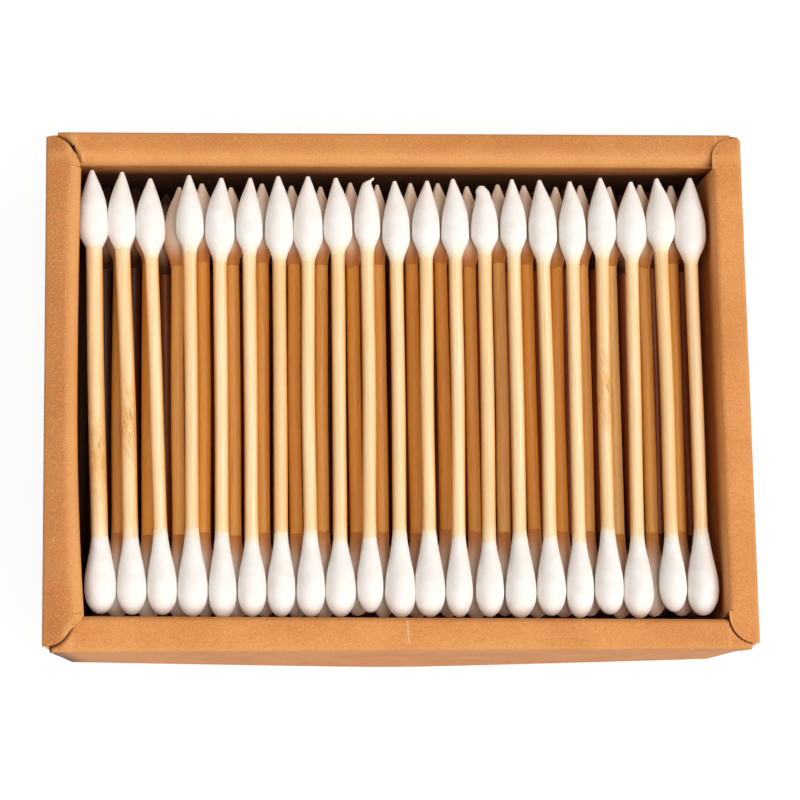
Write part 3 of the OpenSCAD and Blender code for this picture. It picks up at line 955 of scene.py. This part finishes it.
def stem_body(sides, rings):
    """A rod in rings, between the two places where it ends inside its tips."""
    body = start(bpy.ops.mesh.primitive_circle_add, vertices=sides, radius=STEM_R, fill_type="NGON",
                 rotation=(math.pi / 2, 0, 0))
    length = SWAB_LENGTH - 2 * END_PAD
    for i in range(rings):
        bpy.ops.mesh.extrude_region_move(TRANSFORM_OT_translate={"value": (0, length / rings, 0)})
    bpy.ops.mesh.select_all(action="SELECT")
    bpy.ops.transform.translate(value=(0, END_PAD, 0))
    bpy.ops.mesh.normals_make_consistent(inside=False)
    bpy.ops.object.mode_set(mode="OBJECT")
    return body


def swab_bodies(stem_sides, stem_rings, tip_sides, tip_rings):
    """A stem, a pointed tip and a round tip to copy, with their rings closer towards the tips' ends."""
    pointed = tip_profile(pointed_radius, POINTED_L, tip_rings, POINTED_CROWDING)
    rounded = tip_profile(round_radius, ROUND_L, tip_rings, ROUND_CROWDING)
    return stem_body(stem_sides, stem_rings), turned(pointed, tip_sides), turned(rounded, tip_sides)


def half_way(points):
    """The middle of the box round some points."""
    return Vector([(min(p[i] for p in points) + max(p[i] for p in points)) / 2 for i in range(3)])


def swab_places(row):
    """For each swab of a row, the matrix that takes a swab to where the CAD stem lies."""
    spots = [v.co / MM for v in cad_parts[f"stems_{row}"].data.vertices]
    ends = []
    for front in (True, False):
        ring = sorted((p for p in spots if (p.y < 0) == front), key=lambda p: p.x)
        groups = [[ring[0]]]
        for p in ring[1:]:
            if p.x - groups[-1][-1].x > 1:
                groups.append([])
            groups[-1].append(p)
        ends.append([half_way(g) for g in groups])
    places = []
    for front, back in zip(*ends):
        along = (back - front).normalized()
        turn = Vector((0, 1, 0)).rotation_difference(along).to_matrix().to_4x4()
        places.append(Matrix.Translation(front - along * END_PAD) @ turn)
    return places


SMOOTH_SWAB = 40


def laid(pattern, places, name, shape, marks):
    """Copies of a body in its places, each shaped by its own number and all joined as one piece."""
    copies = []
    for number, place in enumerate(places):
        copy = pattern.copy()
        copy.data = pattern.data.copy()
        bpy.context.scene.collection.objects.link(copy)
        layers = point_marks(copy.data, marks)
        for v in copy.data.vertices:
            spot, values = shape(number, v.co.copy())
            v.co = skewed(*(place @ spot))
            for mark, value in zip(marks, values):
                layers[mark][v.index].value = value
        copies.append(copy)
    bpy.ops.object.select_all(action="DESELECT")
    for copy in copies:
        copy.select_set(True)
    bpy.context.view_layer.objects.active = copies[0]
    bpy.ops.object.join()
    bpy.ops.object.shade_smooth_by_angle(angle=math.radians(SMOOTH_SWAB))
    return scaled_down(bpy.context.object, name)


def ripple(seed, y, angle, along, around):
    """Smooth noise on the skin of a round body, -1 to 1."""
    return noise.noise(Vector((y * along, math.cos(angle) * around, math.sin(angle) * around + seed * 7.3)))


ROW_FULL = 21

# Swabs of the top row that differ, by their number from the left
CURLED = 9
TORN = 13
KNOTTED = {0: 0.34, 1: 0.42, 17: 0.50}
SWUNG = {0: -0.3, 1: -0.45, 2: -0.5}
THICK = {0: 0.22, 1: 0.12}

# How much the swabs differ, most of it as the range of a random draw
TIP_SIZES = (0.95, 1.08)
OUTER_TIP_SIZE = 1.11
CURLED_TIP_SIZE = 0.93
TIP_LEAN_X = (-0.22, 0.22)
TIP_LEAN_Z = (-0.15, 0.1)
TIP_OVAL = (-0.02, 0.02)
POINTED_REACH = (-0.6, 0.1)
ROUND_REACH = (0.2, 0.55)
FIRST_REACHES = (0.35, 0.2, -0.75)
NECK_SHIFT = (-1.0, 0.8)
TOP_FADE = (0.84, 1.0)
LOW_FADE = (0.5, 1.0)
ROW_STRAY = (-0.45, 0.45)
ROW_SWING = (-0.4, 0.4)
STEM_SWELL = 0.05
STEM_BEND_X = (-0.2, 0.2)
STEM_BEND_Z = (-0.06, 0.06)
KNOT_REACH = 5.5
# How far the cotton clings along the stem from where its tip ends, from a trace to the most
LINT_REACH = (1.8, -1.5)


def swung(row, number, y):
    """The first three swabs on top lean further left at the back; those below stray from their rows."""
    if row == TOP_ROW:
        return SWUNG.get(number, 0) * y / SWAB_LENGTH
    rng = random.Random(row * 50 + number)
    return rng.uniform(*ROW_STRAY) + rng.uniform(*ROW_SWING) * (y / SWAB_LENGTH - 0.5)


def curled(p, u):
    """Bends the point of a tip over to the right and thins it."""
    curl = share(u, 0.15, 0.0)
    return Vector((p.x * (1 - 0.3 * curl) + 1.1 * curl ** 2, p.y + 0.55 * curl ** 2, p.z * (1 - 0.3 * curl)))


def torn(p, u):
    """Blunts the point of a tip."""
    blunt = share(u, 0.2, 0.0)
    return Vector((p.x * (1 + 0.9 * blunt), p.y + 0.9 * blunt, p.z * (1 + 0.4 * blunt)))


def shaped_tip(row, pointed):
    """The way each cotton tip of a row differs from the plain turned one."""
    length = POINTED_L if pointed else ROUND_L
    rng = random.Random(row * 10 + pointed)
    sizes = [rng.uniform(*TIP_SIZES) for i in range(ROW_FULL)]
    sizes[0] = sizes[-1] = OUTER_TIP_SIZE
    sizes[CURLED] = CURLED_TIP_SIZE
    lean = [(rng.uniform(*TIP_LEAN_X), rng.uniform(*TIP_LEAN_Z)) for i in range(ROW_FULL)]
    oval = [rng.uniform(*TIP_OVAL) for i in range(ROW_FULL)]
    reach = [rng.uniform(*(POINTED_REACH if pointed else ROUND_REACH)) for i in range(ROW_FULL)]
    neck = [rng.uniform(*NECK_SHIFT) for i in range(ROW_FULL)]
    if pointed:
        reach[:3] = FIRST_REACHES

    def shape(number, p):
        u = p.y / length
        thin = share(u, 0.9, 1.0)
        if math.hypot(p.x, p.z) > STEM_R + 0.01 or p.y < END_PAD - 0.01:
            seed = number + row * 31 + pointed * 500
            angle = math.atan2(p.z, p.x)
            fade = share(u, 1.0, 0.88)
            lumps = 0.035 * ripple(seed, p.y, angle, 0.22, 0.9)
            wraps = 0.012 * ripple(seed + 9, p.y + 0.4 * angle, angle, 1.6, 0.4)
            grow = 1 + (sizes[number] - 1.01 + lumps + wraps) * fade
            p.x *= grow * (1 + oval[number] * fade)
            p.z *= grow * (1 - oval[number] * fade)
            end = share(u, 0.45, 0) ** 2
            p.x += lean[number][0] * end * (1.6 if pointed else 0.6)
            p.z += lean[number][1] * end
            p.y -= reach[number] * share(u, 0.8, 0)
            fade_reach = TOP_FADE if row == TOP_ROW else LOW_FADE
            thin = share(u + 0.05 * ripple(seed + 3, 0, angle, 0, 1.6), *fade_reach)
            ragged = 0.5 * ripple(seed + 4, 0, angle, 0, 1.8) * share(u, 0.85, 1)
            p.y += neck[number] * share(u, 0.5, 1) + ragged
            if pointed and row == TOP_ROW and number == CURLED:
                p = curled(p, u)
            if pointed and row == TOP_ROW and number == TORN:
                p = torn(p, u)
        if pointed:
            p.y = SWAB_LENGTH - p.y
        p.x += swung(row, number, p.y)
        return p, (thin,)

    return shape


STEM_MARKS = ("tone", "knot", "flank_shade", "lint")
TIP_MARKS = ("thin",)


def shaped_stem(row):
    """The way each stem of a row differs from a plain round rod."""
    rng = random.Random(row)
    tones = [rng.random() ** 2 * 0.75 for i in range(ROW_FULL)]
    bends = [(rng.uniform(*STEM_BEND_X), rng.uniform(*STEM_BEND_Z)) for i in range(ROW_FULL)]
    free = SWAB_LENGTH - ROUND_L - POINTED_L

    def shape(number, p):
        knotted = row == TOP_ROW and number in KNOTTED
        along = min(1, max(0, (p.y - ROUND_L) / free))
        knot = 0
        flank_shade = 0
        if math.hypot(p.x, p.z) > 0.01:
            angle = math.atan2(p.z, p.x)
            seed = number + row * 17
            # painted shade: the stem's flanks and underside, away from its top, are marked for an orange
            # tint
            flank_shade = share(math.sin(angle), 0.86, 0.3)
            grow = 0.05 * ripple(seed, p.y, angle, 0.05, 1.3) + 0.012 * ripple(seed, p.y, angle, 0.25, 4)
            if knotted:
                knot = math.exp(-((p.y - SWAB_LENGTH * KNOTTED[number]) / KNOT_REACH) ** 2)
                grow += knot * 0.06 * ripple(seed + 5, p.y, angle, 0.6, 2.5)
            grow *= share(along, 0.01, 0.12) * share(along, 0.99, 0.88)
            if row == TOP_ROW:
                grow += STEM_SWELL + THICK.get(number, 0)
            p.x *= 1 + grow
            p.z *= 1 + grow
        bow = math.sin(math.pi * along) ** 2
        p.x += bends[number][0] * bow + swung(row, number, p.y)
        p.z += bends[number][1] * bow
        tone = 0.35 + 0.4 * knot if knotted else tones[number]
        past_tip = min(p.y - ROUND_L, SWAB_LENGTH - p.y - POINTED_L)
        lint = share(past_tip, *LINT_REACH)
        return p, (tone, knot, flank_shade, lint)

    return shape


def swab_rows():
    """The three upper rows anew, and the cotton and bamboo of those below."""
    cotton = wound_cotton()
    bamboo = split_bamboo()
    fine = swab_bodies(stem_sides=24, stem_rings=44, tip_sides=40, tip_rings=36)
    plain = swab_bodies(stem_sides=16, stem_rings=18, tip_sides=24, tip_rings=20)
    for row, bodies in ((TOP_ROW, fine), (TOP_ROW - 1, plain), (TOP_ROW - 2, plain)):
        places = swab_places(row)
        stem, pointed, rounded = bodies
        stems = laid(stem, places, f"bamboo_stems_row_{row}", shaped_stem(row), STEM_MARKS)
        points = laid(pointed, places, f"pointed_cotton_row_{row}", shaped_tip(row, True), TIP_MARKS)
        rounds = laid(rounded, places, f"round_cotton_row_{row}", shaped_tip(row, False), TIP_MARKS)
        for piece, node, slot, material in (
            (stems, "stems", "bamboo", bamboo),
            (points, "pointed_tips", "cotton", cotton),
            (rounds, "round_tips", "cotton", cotton),
        ):
            piece.data.materials.append(material)
            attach(piece, "root")
            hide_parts(f"{node}_{row}")
    for pattern in fine + plain:
        bpy.data.objects.remove(pattern)
    for row in range(1, TOP_ROW - 2):
        for node, material in (("stems", bamboo), ("pointed_tips", cotton), ("round_tips", cotton)):
            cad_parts[f"{node}_{row}"].material_slots[0].material = material


# Floor and light

WORLD_LIGHT = 0.12
WORLD_TINT = (1.0, 0.9, 0.78)
# Each lamp's name, strength, turns about X and Y in degrees, and the angle that it fills
LAMPS = (("key", 3.1, (14, 27), 58), ("fill", 0.55, (6, -48), 60))
# In metres
FLOOR_SIZE = 6
FLOOR_PALE = 0.88
FLOOR_SEEN = 0.1
FLOOR_GLOW = 0.92


def lay_floor():
    """A floor that shows nearly white by a glow of its own, and keeps the object's shadow."""
    floor = start(bpy.ops.mesh.primitive_plane_add, size=FLOOR_SIZE, location=(0, 0, 0))
    bpy.ops.object.mode_set(mode="OBJECT")
    floor.name = "floor"
    f = Finish("studio_floor")
    seen = f.node("LightPath", out="Is Camera Ray")
    grain = f.noise(f.place, 0.05, detail=2)
    base = f.blend(seen, (FLOOR_PALE,) * 3, (FLOOR_SEEN,) * 3)
    base = f.blend(grain * 0.03, base, (FLOOR_SEEN * 0.97,) * 3)
    glow = f.blend(seen, (0, 0, 0), (FLOOR_GLOW,) * 3)
    floor.data.materials.append(f.done(
        Base_Color=base, Roughness=0.9, Emission_Color=glow, Emission_Strength=1.0,
        Specular_IOR_Level=0.1))


def light_studio():
    """A dim warm world that shows white behind the object, and two soft lamps."""
    world = bpy.data.worlds.new("studio")
    sky = NodeMaker(world)
    shown = sky.node("Background", {}, {"Color": WORLD_TINT, "Strength": WORLD_LIGHT})
    white = sky.node("Background", {}, {"Color": (1, 1, 1), "Strength": 1})
    for ray in ("Is Camera Ray", "Is Transmission Ray"):
        seen = sky.node("LightPath", out=ray)
        shown = sky.node("MixShader", {}, {0: seen, 1: shown, 2: white})
    sky.node("OutputWorld", {}, {"Surface": shown})
    bpy.context.scene.world = world
    for name, strength, turns, softness in LAMPS:
        data = bpy.data.lights.new(name, "SUN")
        data.energy = strength
        data.angle = math.radians(softness)
        lamp = bpy.data.objects.new(name, data)
        lamp.rotation_euler = [math.radians(a) for a in (*turns, 0)]
        bpy.context.scene.collection.objects.link(lamp)


place_camera()
light_studio()
lay_floor()
tray = folded_tray()
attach(tray, "root")
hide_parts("tray")
swab_rows()

bpy.context.scene.view_settings.view_transform = "Standard"
